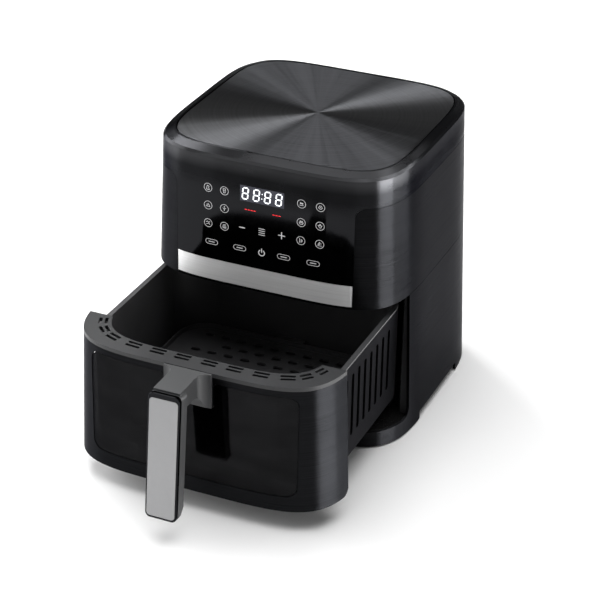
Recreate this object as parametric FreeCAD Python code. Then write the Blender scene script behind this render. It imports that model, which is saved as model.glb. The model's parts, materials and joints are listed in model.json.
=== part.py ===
import FreeCAD, Part
import math
import os

# Basket air fryer with its drawer pulled out.
# Millimetres. X runs to the right seen from the front, the front faces -Y, Z is up.
# The functions below work from the middle of the body, with the drawer shut.
# The finished frame has its origin on the counter, midway between grip and back panel.

V = FreeCAD.Vector

# ---- body envelope ----
HALF_WIDTH = 138.0        # at the counter
FRONT = 133.5             # front face is upright
REAR = 131.0              # at the counter
DRAFT = 0.04              # sides and rear lean in by this much per mm of height
SQUARENESS = 4.8          # power of the squircle outline
OUTLINE_POINTS = 48
WALL = 2.5

# ---- heights on the body ----
SKIRT_BOTTOM = 1.5
LIP_TOP = 17.5
SEAM = 152.2              # top of the lower shell
BROW = 152.7              # underside of the brow over the drawer
STRIP_BOTTOM = 155.0
STRIP_TOP = 177.0
PANEL_BOTTOM = 177.4
BAND_BOTTOM = 257.0
BAND_TOP = 284.0
SHOULDER = 286.5
TOP = 288.8
PANEL_HALF = 91.5
PANEL_FLARE = 9.0         # radius where the panel widens into the band
GAP = 0.2                 # shut line between fixed mouldings

# ---- top plate ----
PLATE_HALF_X = 116.5
PLATE_HALF_Y = 115.4
PLATE_POWER = 5.24
PLATE_CENTRE_Y = -2.4
PLATE_SEAT = 286.6
GROOVE = 1.3              # open gap round the plate

# ---- rear panel ----
REAR_PANEL_HALF = 85.0
REAR_PANEL_BOTTOM = 46.0
REAR_PANEL_TOP = 236.0
REAR_PANEL_INSET = 0.3
VENT_PITCH = 7.5
VENT_HEIGHT = 3.6
VENTS = [(58.0, 168.0, 8), (40.0, 88.0, 6)]     # half width, lowest slot, slots in the block
PANEL_SCREWS = [(-76, 54), (-76, 228), (76, 54), (76, 228)]
CORD_Z = 62.0
CORD_BORE = 3.8
GLAND_RADIUS = 7.8

# ---- drawer opening ----
OPENING_REAR = -76.5      # where the shell edge stands on each side
OPENING_RADIUS = 12.0
FASCIA_END = -77.5
FASCIA_RADIUS = 10.0
FASCIA_BOTTOM = 22.0
RIM_BOTTOM = 148.0
RIM_TOP = 151.9
RIM_WIDTH = 21.5
DASH_INSET = 12.9         # outer row of vent dashes, from the rim's outer edge
DASH_ROWS = 5.4           # from the outer row to the inner row
DASH_WIDTH = 3.2
DASHES = [(12.8, 15.0), (38.3, 15.0), (63.8, 15.0), (89.0, 14.0), (107.0, 11.5), (124.5, 10.5)]
FASCIA_WALL = 3.0
DRAWER_OUT = 156.2        # how far the drawer stands out
FRAME_Y = 109.0           # from the body's middle to the origin, midway along the whole

# ---- window ----
WINDOW_HALF = 104.0
WINDOW_BOTTOM = 37.5
WINDOW_TOP = 142.0
WINDOW_RADIUS = 10.0
NOTCH_HALF = 24.6
NOTCH_BOTTOM = 115.0

# ---- cradle, pan, crisper ----
CRADLE_HALF = 122.0
CRADLE_FRONT = -112.0
CRADLE_REAR = 104.0
CRADLE_RADIUS = 40.0
CRADLE_BOTTOM = 42.0
CRADLE_TOP = 140.0
CRADLE_WALL = 2.0
TAB_SPOTS = [-60, 60]     # where the cradle holds the drawer front
SLOT_COUNT = 8
SLOT_PITCH = 15.0
SLOT_FIRST_Y = -57.0
SLOT_WIDTH = 6.0
SLOT_BOTTOM = 62.0
SLOT_TOP = 128.0
PAN_GAP = 1.5             # between cradle wall and pan
PAN_WALL = 1.5
PAN_BOTTOM = 46.0
PAN_LIP = 1.5
INNER_WINDOW_HALF = 72.0
INNER_WINDOW_BOTTOM = 62.0
INNER_WINDOW_TOP = 124.0
CRISPER_Z = 58.0
CRISPER_THICK = 2.0
CRISPER_GAP = 8.0

# ---- handle ----
ROOT_HALF = 23.5
ARM_HALF = 13.0
ARM_FILLET = 9.0
ARM_BOTTOM = 117.0
GRIP_HALF = 15.6
GRIP_DEPTH = 15.0
GRIP_HEIGHT = 124.5
GRIP_SKIN = 4.0           # thickness of the gloss frame on the front of the grip
GRIP_PLATE = [-14.0, 14.0, 2.5, 119.8, 3.5]     # silver plate: sides, foot, head, corner radius
HANDLE_SCREWS = [-16, 16]
HANDLE_SCREW_Z = 134.0
ARM_TOP = 151.4
ARM_START = -136.0        # where the root narrows to the arm
ARM_END = -176.0
GRIP_LEAN = 5.5           # degrees, the foot of the grip stands forward
GRIP_FOOT_Y = -193.2
GRIP_FOOT_Z = 26.0

# ---- hot chamber ----
LINER_HALF = 124.0
LINER_REAR = 112.0
LINER_RADIUS = 42.0
SHEET = 0.8
FLOOR_Z = 17.0            # underside of the sheet well
DOME_FRONT = -106.0
DOME_BOTTOM = 153.2
DOME_TOP = 200.0
PAD_TOP = 206.0
PROBE = (-60, -70)
CUTOUT = (-70, 40)
SHAFT_RADIUS = 3.0
RUNNING_FIT = 0.05

# ---- drawer rails ----
RAIL_FRONT = -74.0
RAIL_REAR = 97.0
RAIL_X = 111.0            # outer face of the channel
RAIL_BOTTOM = 24.0
RAIL_TOP = 34.0
RAIL_SHEET = 2.0
RUNNER_FRONT = -60.0
RUNNER_REAR = 100.0
RUNNER_BOTTOM = 26.3
RUNNER_TOP = 31.0


# ---------------------------------------------------------------- helpers

def box(x0, x1, y0, y1, z0, z1):
    return Part.makeBox(x1 - x0, y1 - y0, z1 - z0, V(x0, y0, z0))


def rod(x, y, z, radius, length, axis=V(0, 0, 1)):
    return Part.makeCylinder(radius, length, V(x, y, z), axis)


def fuse(shapes):
    return shapes[0].multiFuse(shapes[1:])


def mirrored(shape):
    """The same shape on the other side of the middle plane."""
    return shape.mirror(V(0, 0, 0), V(1, 0, 0))


def squircle(half_width, front, rear, power, z, centre_y=0.0):
    """Closed smooth outline with bowed sides and round corners."""
    points = []
    for i in range(OUTLINE_POINTS):
        angle = 2 * math.pi * i / OUTLINE_POINTS
        depth = rear if angle < math.pi else front
        c = math.cos(angle)
        s = math.sin(angle)
        radius = (abs(c / half_width) ** power + abs(s / depth) ** power) ** (-1 / power)
        points.append(V(radius * c, radius * s + centre_y, z))
    curve = Part.BSplineCurve()
    curve.interpolate(Points=points, PeriodicFlag=True)
    return Part.Wire([curve.toShape()])


def body_outline(z, inset=0.0):
    """Outline of the body at height z, moved inwards by inset."""
    lean = DRAFT * z
    return squircle(HALF_WIDTH - lean - inset, FRONT - inset, REAR - lean - inset, SQUARENESS, z)


def body_block(z0, z1, inset=0.0):
    """Solid slice of the body envelope between two heights."""
    return Part.makeLoft([body_outline(z0, inset), body_outline(z1, inset)], True, True)


def body_ring(z0, z1, outer_inset, inner_inset):
    """Wall that follows the body envelope."""
    return body_block(z0, z1, outer_inset).cut(body_block(z0 - 1, z1 + 1, inner_inset))


def plate_outline(z, growth):
    return squircle(PLATE_HALF_X + growth, PLATE_HALF_Y + growth, PLATE_HALF_Y + growth,
                    PLATE_POWER, z, PLATE_CENTRE_Y)


def plate_block(z0, z1, growth):
    return Part.makeLoft([plate_outline(z0, growth), plate_outline(z1, growth)], True, True)


def rounded_face(corners, plane, offset):
    """Face whose corners are (u, v, radius), lying in plane XY, XZ or YZ."""

    def place(point):
        if plane == "XY":
            return V(point.x, point.y, offset)
        if plane == "XZ":
            return V(point.x, offset, point.y)
        return V(offset, point.x, point.y)

    spots = [V(u, v, 0) for u, v, radius in corners]
    pieces = []
    for i, (u, v, radius) in enumerate(corners):
        here = spots[i]
        back = (spots[i - 1] - here).normalize()
        ahead = (spots[(i + 1) % len(spots)] - here).normalize()
        half = back.getAngle(ahead) / 2
        reach = radius / math.tan(half)
        start = here + back * reach
        end = here + ahead * reach
        middle = here
        if radius > 0:
            centre = here + (back + ahead).normalize() * (radius / math.sin(half))
            middle = centre + (here - centre).normalize() * radius
        pieces.append((place(start), place(middle), place(end), radius > 0))
    edges = []
    for i, (start, middle, end, is_round) in enumerate(pieces):
        if is_round:
            edges.append(Part.Arc(start, middle, end).toShape())
        following = pieces[(i + 1) % len(pieces)][0]
        if end.distanceToPoint(following) > 1e-6:
            edges.append(Part.makeLine(end, following))
    return Part.Face(Part.Wire(edges))


def prism(corners, plane, start, end):
    """Solid swept from start to end along the axis square to the plane."""
    direction = {"XY": V(0, 0, 1), "XZ": V(0, 1, 0), "YZ": V(1, 0, 0)}[plane]
    return rounded_face(corners, plane, start).extrude(direction * (end - start))


def rectangle(u0, u1, v0, v1, radius):
    return [(u0, v0, radius), (u1, v0, radius), (u1, v1, radius), (u0, v1, radius)]


def rounded_block(half_x, y0, y1, z0, z1, radius):
    """Block with round upright corners, centred on the middle plane."""
    return prism(rectangle(-half_x, half_x, y0, y1, radius), "XY", z0, z1)


def hexagon_corners(radius):
    return [(radius * math.cos(math.radians(a)), radius * math.sin(math.radians(a)))
            for a in range(0, 360, 60)]


def group(shapes):
    """Separate identical solids kept in one node."""
    return Part.makeCompound(shapes)


# ---------------------------------------------------------------- body shells

def opening_cut():
    """Space the drawer front fills, with round lower rear corners."""
    corners = [
        (-200, LIP_TOP, 0),
        (OPENING_REAR, LIP_TOP, OPENING_RADIUS),
        (OPENING_REAR, 170, 0),
        (-200, 170, 0),
    ]
    return prism(corners, "YZ", -200, 200)


def rear_window(margin):
    """Block that marks the rear panel, smaller by margin."""
    half = REAR_PANEL_HALF - margin
    return box(-half, half, 90, 140, REAR_PANEL_BOTTOM + margin, REAR_PANEL_TOP - margin)


def lower_shell():
    shell = body_ring(SKIRT_BOTTOM, SEAM, 0, WALL)
    side_cut = prism(
        [(-51, -5, 0), (56, -5, 0), (56, 10, 2), (-51, 10, 2)], "YZ", -200, 200)
    shell = shell.cut(opening_cut()).cut(side_cut).cut(rear_window(0))
    deck = body_ring(12.5, LIP_TOP - 2.5, WALL - 0.5, 12)
    return fuse([shell, deck])


def panel_outline(margin):
    """Front view of the control panel: straight sides that flare out at the top."""
    side = PANEL_HALF - margin
    radius = PANEL_FLARE + margin
    flare_x = PANEL_HALF + PANEL_FLARE
    flare_z = BAND_BOTTOM - PANEL_FLARE
    slant = radius * math.sqrt(0.5)
    top = flare_z + radius
    bottom = STRIP_BOTTOM - GAP
    y = -200

    def flare(sign):
        return Part.Arc(V(sign * side, y, flare_z),
                        V(sign * (flare_x - slant), y, flare_z + slant),
                        V(sign * flare_x, y, top)).toShape()

    spots = [V(-flare_x, y, top), V(-flare_x, y, top + 20), V(flare_x, y, top + 20),
             V(flare_x, y, top)]
    edges = [Part.makeLine(spots[i], spots[i + 1]) for i in range(3)]
    edges.append(flare(1))
    edges.append(Part.makeLine(V(side, y, flare_z), V(side, y, bottom)))
    edges.append(Part.makeLine(V(side, y, bottom), V(-side, y, bottom)))
    edges.append(Part.makeLine(V(-side, y, bottom), V(-side, y, flare_z)))
    edges.append(flare(-1))
    return Part.Face(Part.Wire(edges)).extrude(V(0, 140, 0))


def upper_shell():
    ring = body_ring(BROW, BAND_BOTTOM - GAP, 0, WALL)
    ring = ring.cut(panel_outline(0)).cut(rear_window(0))
    ledge = body_block(BROW, STRIP_BOTTOM - GAP, 1.2).common(box(-140, 140, -140, -109, 150, 160))
    return fuse([ring, ledge])


def gloss_housing():
    """Band, shoulder and control panel in one gloss moulding."""
    wall = body_block(PANEL_BOTTOM, BAND_TOP).cut(
        body_block(PANEL_BOTTOM - 1, BAND_TOP + 1, WALL))
    below_band = box(-200, 200, -201, 200, PANEL_BOTTOM - 5, BAND_BOTTOM + GAP)
    wall = wall.cut(below_band.cut(panel_outline(GAP)))
    shoulder = Part.makeLoft([body_outline(BAND_TOP), body_outline(SHOULDER, 1.8)], True, True)
    slope = Part.makeLoft([body_outline(SHOULDER, 1.8), plate_outline(TOP, 1.8)], True, True)
    seat = plate_block(PLATE_SEAT, TOP + 1, 0)
    lid = fuse([shoulder, slope]).cut(seat)
    return fuse([wall, lid])


def top_plate():
    return plate_block(PLATE_SEAT, TOP - 0.4, -GROOVE)


def silver_strip():
    ring = body_ring(STRIP_BOTTOM, STRIP_TOP, 0.4, 2.4)
    return ring.common(box(-PANEL_HALF + 0.6, PANEL_HALF - 0.6, -140, -90, 150, 180))


def rear_panel():
    panel = body_ring(REAR_PANEL_BOTTOM - 6, REAR_PANEL_TOP + 6, REAR_PANEL_INSET,
                      REAR_PANEL_INSET + WALL).common(rear_window(GAP))
    for half, lowest, count in VENTS:
        for i in range(count):
            z = lowest + VENT_PITCH * i
            slot = rectangle(-half, half, z, z + VENT_HEIGHT, 1.7)
            panel = panel.cut(prism(slot, "XZ", 90, 140))
    for x, z in PANEL_SCREWS:
        panel = panel.cut(rod(x, 90, z, 1.7, 50, V(0, 1, 0)))
    return panel.cut(rod(0, 90, CORD_Z, GLAND_RADIUS + GAP, 50, V(0, 1, 0)))


def rear_wall_y(z, inset):
    return REAR - DRAFT * z - inset


def cord_inlet():
    """Gland in the rear panel, left open for the cord."""
    face = rear_wall_y(CORD_Z, REAR_PANEL_INSET)
    flange = rod(0, face + 0.5, CORD_Z, 12.0, 2.0, V(0, 1, 0))
    barrel = rod(0, face - 12, CORD_Z, GLAND_RADIUS, 13.0, V(0, 1, 0))
    bore = rod(0, face - 14, CORD_Z, CORD_BORE, 20, V(0, 1, 0))
    hexagon = [(x, CORD_Z + z, 0) for x, z in hexagon_corners(10.5)]
    nut = prism(hexagon, "XZ", face - 8, face - 3.2)
    return fuse([flange, barrel, nut]).cut(bore)


def rear_screws():
    screws = []
    for x, z in PANEL_SCREWS:
        face = rear_wall_y(z, 1.2)
        shank = rod(x, face - 10, z, 1.5, 10, V(0, 1, 0))
        head = rod(x, face, z, 3.2, 1.6, V(0, 1, 0))
        cross = fuse([box(x - 2, x + 2, face + 0.8, face + 2, z - 0.4, z + 0.4),
                      box(x - 0.4, x + 0.4, face + 0.8, face + 2, z - 2, z + 2)])
        screws.append(fuse([shank, head]).cut(cross))
    return group(screws)


# ---------------------------------------------------------------- base

FOOT_SPOTS = [(-104, -98), (104, -98), (-104, 96), (104, 96)]
BASE_SCREW_SPOTS = [(-70, -86), (70, -86), (-70, 84), (70, 84)]
BASE_SCREW_TIP = FLOOR_Z + SHEET + 0.7


def base_tray():
    tray = body_block(8.0, 11.0, WALL + 0.3)
    for x, y in FOOT_SPOTS:
        tray = tray.fuse(rod(x, y, 2.5, 10.5, 6))
    for i in range(11):
        x = -50 + 10 * i
        tray = tray.cut(prism(rectangle(x - 2, x + 2, -40, 40, 1.9), "XY", 5, 15))
    for x, y in BASE_SCREW_SPOTS:
        tray = tray.cut(rod(x, y, 5, 1.8, 10))
    return tray


def feet():
    pads = []
    for x, y in FOOT_SPOTS:
        pad = rod(x, y, 0, 10.0, 2.5)
        pad = pad.makeChamfer(0.8, [pad.Edges[2]])
        pads.append(pad)
    return group(pads)


def base_screws():
    """Screws up through the tray and the floor of the well, which they hold together."""
    screws = []
    for x, y in BASE_SCREW_SPOTS:
        shank = rod(x, y, 8, 1.7, BASE_SCREW_TIP - 8)
        head = rod(x, y, 6.2, 3.4, 1.8)
        cross = fuse([box(x - 2.2, x + 2.2, y - 0.4, y + 0.4, 6, 7.2),
                      box(x - 0.4, x + 0.4, y - 2.2, y + 2.2, 6, 7.2)])
        screws.append(fuse([shank, head]).cut(cross))
    return group(screws)


# ---------------------------------------------------------------- cavity

def cavity_liner():
    """Sheet-metal well for the drawer: floor, two sides and a rear wall."""
    outer = rounded_block(LINER_HALF + SHEET, -180, LINER_REAR + SHEET, FLOOR_Z, SEAM - 0.5,
                          LINER_RADIUS + SHEET)
    inner = rounded_block(LINER_HALF, -180, LINER_REAR, FLOOR_Z + SHEET, SEAM + 2, LINER_RADIUS)
    well = outer.cut(inner).common(box(-140, 140, -75.0, 140, 0, 170))
    apron = body_block(FLOOR_Z, FLOOR_Z + SHEET, WALL + 0.4).common(box(-140, 140, -140, -74.0, 0, 40))
    exhaust_ports = [prism(rectangle(x - 2, x + 2, 60, 120, 1.9), "XZ", 100, 120)
                     for x in range(-56, 57, 14)]
    well = fuse([well, apron])
    for port in exhaust_ports:
        well = well.cut(port)
    for x, y in BASE_SCREW_SPOTS:
        well = well.cut(rod(x, y, 10, 1.9, 12))
    return well


def cavity_bezel():
    """Upright frame that joins the shell edge to the liner mouth."""
    plate = body_block(18.5, SEAM - 0.6, WALL + 0.3).common(box(-140, 140, -75.0, -71.0, 0, 170))
    mouth = box(-LINER_HALF - SHEET - 0.1, LINER_HALF + SHEET + 0.1, -80, -60, 10, 170)
    return group(plate.cut(mouth).Solids)


def rail(side):
    """C channel that carries the drawer runner."""
    web = box(RAIL_X - RAIL_SHEET, RAIL_X, RAIL_FRONT, RAIL_REAR, RAIL_BOTTOM, RAIL_TOP)
    floor = box(RAIL_X - 13, RAIL_X, RAIL_FRONT, RAIL_REAR, RAIL_BOTTOM, RAIL_BOTTOM + RAIL_SHEET)
    roof = box(RAIL_X - 8, RAIL_X, RAIL_FRONT, RAIL_REAR, RAIL_TOP - RAIL_SHEET, RAIL_TOP)
    legs = [box(RAIL_X - 6, RAIL_X, y, y + 16, FLOOR_Z + SHEET, RAIL_BOTTOM) for y in (-68, 6, 80)]
    shape = fuse([web, floor, roof] + legs)
    return shape if side > 0 else mirrored(shape)


def reed_switch():
    return fuse([
        box(125.4, 127.6, -70, -54, 122, 130),
        rod(126.5, -54.5, 126, 0.8, 5, V(0, 1, 0)),
    ])


# ---------------------------------------------------------------- hot chamber

TERMINALS = [(-12, 87.2), (12, 87.2)]


def heat_dome():
    half = LINER_HALF - 2
    outer = rounded_block(half, DOME_FRONT, LINER_REAR, DOME_BOTTOM, DOME_TOP, 40)
    inner = rounded_block(half - SHEET, DOME_FRONT + SHEET, LINER_REAR - SHEET,
                          DOME_BOTTOM - 3, DOME_TOP - SHEET, 40 - SHEET)
    flange = body_block(DOME_BOTTOM, DOME_BOTTOM + SHEET, WALL + 0.5).cut(
        rounded_block(half - 1, DOME_FRONT + 1, LINER_REAR - 1, 150, 160, 39))
    flange = flange.common(box(-140, 140, DOME_FRONT - 2, 140, 150, 160))
    dome = fuse([outer.cut(inner), flange])
    dome = dome.cut(rod(0, 0, DOME_TOP - 2, 7, 4))
    dome = dome.cut(box(-35, 35, LINER_REAR - 5, LINER_REAR + 5, 165, 189))
    for x, y in TERMINALS:
        dome = dome.cut(rod(x, y, DOME_TOP - 2, 4.2, 4))
    return dome.cut(rod(*PROBE, DOME_TOP - 2, 2.3, 4))


def insulation_pad():
    pad = rounded_block(LINER_HALF - 12, -94, 102, DOME_TOP, PAD_TOP, 30)
    pad = pad.cut(rod(0, 0, DOME_TOP - 1, 14, 8))
    for x, y in TERMINALS:
        pad = pad.cut(rod(x, y, DOME_TOP - 1, 6, 8))
    for x, y in BRACKET_LEGS + BOARD_POSTS:
        pad = pad.cut(rod(x, y, DOME_TOP - 1, 5.5, 8))
    pad = pad.cut(rod(*PROBE, DOME_TOP - 1, 4.5, 8))
    return pad.cut(rod(*CUTOUT, DOME_TOP - 1, 11, 8))


COIL_Z = 170.0
COIL_TUBE = 3.3


def heater_coil():
    """Two turns of tubular element with its terminals going up through the dome."""
    loops = [Part.makeTorus(radius, COIL_TUBE, V(0, 0, COIL_Z)) for radius in (88.0, 64.0)]
    bridge = rod(0, -88, COIL_Z, COIL_TUBE, 24, V(0, 1, 0))
    shape = fuse(loops + [bridge])
    gap = box(-6, 6, 80, 96, COIL_Z - 5, COIL_Z + 5)
    shape = shape.cut(gap)
    posts = [rod(x, y, COIL_Z, COIL_TUBE, 42) for x, y in TERMINALS]
    blades = [box(x - 2.4, x + 2.4, y - 0.4, y + 0.4, COIL_Z + 42, COIL_Z + 52)
              for x, y in TERMINALS]
    return fuse([shape] + posts + blades)


def heater_clips():
    clips = []
    for angle in (10, 170, 235, 305):
        saddle = box(58, 94, -3, 3, COIL_Z - COIL_TUBE - 1.5, COIL_Z - COIL_TUBE)
        stem = box(74, 78, -3, 3, COIL_Z - COIL_TUBE - 1.5, DOME_TOP - SHEET)
        foot = box(74, 86, -3, 3, DOME_TOP - SHEET - 1.5, DOME_TOP - SHEET)
        clip = fuse([saddle, stem, foot])
        clip.rotate(V(0, 0, 0), V(0, 0, 1), angle)
        clips.append(clip)
    return group(clips)


def heater_guard():
    """Wire grille below the element."""
    z = 158.0
    reach = LINER_HALF - 2 - SHEET
    rings = [Part.makeTorus(radius, 1.2, V(0, 0, z)) for radius in (24.0, 48.0, 72.0, 96.0)]
    across = rod(-reach, 0, z - 1.5, 1.3, 2 * reach, V(1, 0, 0))
    depth = LINER_REAR - DOME_FRONT - 2 * SHEET
    along = rod(0, DOME_FRONT + SHEET, z - 1.5, 1.3, depth, V(0, 1, 0))
    grille = across.fuse(along)
    for ring in rings:
        grille = grille.fuse(ring)
    return grille


def paddle_fan(hub_z, hub_height, hub_radius, disc_radius, disc_z, blade_count, blade):
    """Fan with a backing disc and upright blades; blade is (r0, r1, z0, z1, sweep)."""
    parts = [rod(0, 0, hub_z, hub_radius, hub_height), rod(0, 0, disc_z, disc_radius, 1.2)]
    r0, r1, z0, z1, sweep = blade
    for i in range(blade_count):
        vane = box(r0, r1, -0.6, 0.6, z0, z1)
        vane.rotate(V((r0 + r1) / 2, 0, 0), V(0, 0, 1), sweep)
        vane.rotate(V(0, 0, 0), V(0, 0, 1), 360 * i / blade_count)
        parts.append(vane)
    return fuse(parts).cut(rod(0, 0, hub_z - 20, SHAFT_RADIUS, hub_height + 40))


def convection_fan():
    return paddle_fan(181.0, 13.0, 9.0, 54.0, 192.0, 9, (16.0, 53.0, 180.0, 192.1, 18))


def cooling_fan():
    return paddle_fan(250.0, 10.0, 8.0, 46.0, 250.0, 8, (12.0, 45.0, 251.0, 262.0, 24))


def motor_shaft():
    return rod(0, 0, 177.0, SHAFT_RADIUS, 88.0)


def shaft_nuts():
    nuts = []
    for z in (178.0, 260.0):
        hexagon = [(x, y, 0) for x, y in hexagon_corners(5.8)]
        nut = prism(hexagon, "XY", z, z + 3.0)
        nuts.append(nut.cut(rod(0, 0, z - 1, SHAFT_RADIUS, 6)))
    return group(nuts)


BRACKET_LEGS = [(-46, -20), (46, -20), (-46, 20), (46, 20)]


def motor_bracket():
    plate = rounded_block(54, -28, 28, 210, 212, 8)
    plate = plate.cut(rod(0, 0, 205, 11, 10))
    parts = [plate]
    for x, y in BRACKET_LEGS:
        parts.append(rod(x, y, DOME_TOP, 4.5, 10.0))
    bracket = fuse(parts)
    for x, y in BRACKET_LEGS:
        bracket = bracket.cut(rod(x, y, 203, 1.5, 12))
    return bracket


def motor_screws():
    screws = []
    for x, y in BRACKET_LEGS:
        shank = rod(x, y, 204, 1.45, 8)
        head = rod(x, y, 212, 3.2, 2)
        screws.append(fuse([shank, head]).cut(box(x - 2, x + 2, y - 0.4, y + 0.4, 213, 215)))
    return group(screws)


def fan_motor():
    """Shaded-pole motor: laminated stack, two end bells and the coil."""
    stack = rounded_block(36, -24, 24, 218, 234, 3)
    bells = [rod(0, 0, 212, 24, 6), rod(0, 0, 234, 24, 6)]
    bosses = [rod(0, 0, 208.0, 8, 5), rod(0, 0, 239, 8, 5)]
    coil = rounded_block(20, 24, 38, 215, 237, 4)
    return fuse([stack, coil] + bells + bosses).cut(rod(0, 0, 200, SHAFT_RADIUS + RUNNING_FIT, 60))


def exhaust_duct():
    outer = box(-38, 38, LINER_REAR + 0.2, 119.5, 162, 192)
    return outer.cut(box(-36.8, 36.8, LINER_REAR - 2, 125, 163.2, 190.8))


def thermal_cutout():
    x, y = CUTOUT
    top = DOME_TOP + 5
    return fuse([rod(x, y, DOME_TOP, 9, 5), rod(x, y, top, 6, 4),
                 box(x - 8, x - 4, y - 2, y + 2, top, top + 7),
                 box(x + 4, x + 8, y - 2, y + 2, top, top + 7)])


def temperature_probe():
    return fuse([rod(*PROBE, DOME_TOP - 24, 2.1, 26), rod(*PROBE, DOME_TOP, 4, 5)])


# ---------------------------------------------------------------- electronics

BOARD_POSTS = [(66, -38), (108, -38), (66, 38), (108, 38)]
BOARD_Z = 216.0
BOARD_TOP = BOARD_Z + 1.6


def power_board():
    board = box(61, 113, -44, 44, BOARD_Z, BOARD_TOP)
    posts = [rod(x, y, DOME_TOP, 3, BOARD_Z - DOME_TOP) for x, y in BOARD_POSTS]
    heat_sink = fuse([box(64 + 5 * i, 65.2 + 5 * i, -30, -8, BOARD_TOP, 236) for i in range(5)]
                     + [box(64, 85.2, -30, -8, BOARD_TOP, 220)])
    connectors = [box(92, 108, y, y + 8, BOARD_TOP, 225) for y in (-30, -16, 28)]
    return fuse([board, heat_sink] + posts + connectors)


def relay():
    return prism(rectangle(66, 86, 8, 24, 1.5), "XY", BOARD_TOP, 233)


def filter_capacitor():
    return prism(rectangle(92, 110, 4, 16, 2), "XY", BOARD_TOP, 231)


def control_carrier():
    plate = box(-96, 96, -121, -119, 156, 262)
    window = box(-70, 70, -125, -115, 186, 240)
    ribs = [box(x - 1, x + 1, -124.5, -121, 157, 176) for x in (-80, -40, 0, 40, 80)]
    shelf = box(-86, 86, -127, -121, 178, 180)
    return fuse([plate.cut(window), shelf] + ribs)


def touch_board():
    board = box(-84, 84, -122.6, -121, 184, 258)
    pads = []
    for x in (-57.5, -40, 40, 57.5):
        for z in (216, 234.5, 253):
            pads.append(rod(x, -122.5, z, 4, 3.4, V(0, -1, 0)))
    connector = box(-12, 12, -121, -116, 190, 198)
    return fuse([board, connector] + pads)


def display_module():
    return prism(rectangle(-25, 25, 242.5, 263.5, 1.5), "XZ", -129.6, -122.6)


# ---------------------------------------------------------------- drawer

def fascia_corner():
    """Cutter that rounds the lower rear corner of each fascia wing."""
    y = FASCIA_END - FASCIA_RADIUS + 0.5
    z = FASCIA_BOTTOM + FASCIA_RADIUS - 0.5
    corner = box(-150, 150, y, y + FASCIA_RADIUS + 3, z - FASCIA_RADIUS - 3, z)
    return corner.cut(rod(-151, y, z, FASCIA_RADIUS, 302, V(1, 0, 0)))


def drawer_envelope(z0, z1, outer_inset, inner_inset):
    """Curved wall of the drawer front, closed position."""
    wall = body_ring(z0, z1, outer_inset, inner_inset)
    return wall.common(box(-150, 150, -150, FASCIA_END, z0 - 1, z1 + 1)).cut(fascia_corner())


def window_profile(margin):
    """Window outline with the notch round the handle root."""
    half = WINDOW_HALF - margin
    notch = NOTCH_HALF + margin
    top = WINDOW_TOP - margin
    bottom = WINDOW_BOTTOM + margin
    floor = NOTCH_BOTTOM - margin
    return [
        (-half, bottom, WINDOW_RADIUS), (half, bottom, WINDOW_RADIUS),
        (half, top, WINDOW_RADIUS), (notch, top, 4),
        (notch, floor, 4), (-notch, floor, 4),
        (-notch, top, 4), (-half, top, WINDOW_RADIUS),
    ]


def fascia():
    shell = drawer_envelope(FASCIA_BOTTOM, RIM_BOTTOM, 0, FASCIA_WALL)
    floor = drawer_envelope(FASCIA_BOTTOM, FASCIA_BOTTOM + 2.5, 1, 34)
    shell = fuse([shell, floor])
    shell = shell.cut(prism(window_profile(0), "XZ", -150, -95))
    for x in HANDLE_SCREWS:
        shell = shell.cut(rod(x, -140, HANDLE_SCREW_Z, 1.9, 20, V(0, 1, 0)))
    bosses = [box(x - 5, x + 5, CRADLE_FRONT + 1, CRADLE_FRONT + 11, FASCIA_BOTTOM + 2,
                  CRADLE_BOTTOM) for x in TAB_SPOTS]
    return fuse([shell] + bosses)


def rim_dashes():
    """Cutters for the pairs of dashes that follow the rim, one behind the other."""
    half = HALF_WIDTH - DRAFT * RIM_TOP - DASH_INSET
    front = FRONT - DASH_INSET
    steps = 600
    points = []
    travelled = [0.0]
    for i in range(steps + 1):
        angle = 1.5 * math.pi + 0.5 * math.pi * i / steps
        c = abs(math.cos(angle)) ** (2 / SQUARENESS)
        s = abs(math.sin(angle)) ** (2 / SQUARENESS)
        points.append(V(half * c, -front * s, 0))
        if i:
            travelled.append(travelled[-1] + points[i].distanceToPoint(points[i - 1]))
    cutters = []
    for station, length in DASHES:
        i = min(range(1, steps), key=lambda j: abs(travelled[j] - station))
        direction = points[i + 1] - points[i - 1]
        for row in (0, 1):
            y = row * DASH_ROWS
            dash = prism(rectangle(-length / 2, length / 2, y - DASH_WIDTH / 2,
                                   y + DASH_WIDTH / 2, 1.0), "XY", RIM_BOTTOM - 1, RIM_TOP + 1)
            dash.rotate(V(0, 0, 0), V(0, 0, 1), math.degrees(math.atan2(direction.y, direction.x)))
            dash.translate(points[i])
            cutters += [dash, mirrored(dash)]
    return cutters


def vent_rim():
    rim = drawer_envelope(RIM_BOTTOM, RIM_TOP, 0, RIM_WIDTH)
    for cutter in rim_dashes():
        rim = rim.cut(cutter)
    return rim


def outer_window():
    wall = body_ring(WINDOW_BOTTOM - 5, WINDOW_TOP + 5, 0.4, FASCIA_WALL)
    return wall.common(prism(window_profile(0.6), "XZ", -150, -95))


def slot_cutters():
    cutters = []
    for i in range(SLOT_COUNT):
        y = SLOT_FIRST_Y + SLOT_PITCH * i
        profile = rectangle(y - SLOT_WIDTH / 2, y + SLOT_WIDTH / 2, SLOT_BOTTOM, SLOT_TOP,
                            SLOT_WIDTH / 2 - 0.1)
        cutters.append(prism(profile, "YZ", CRADLE_HALF - 5, CRADLE_HALF + 5))
        cutters.append(prism(profile, "YZ", -CRADLE_HALF - 5, -CRADLE_HALF + 5))
    return cutters


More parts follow.
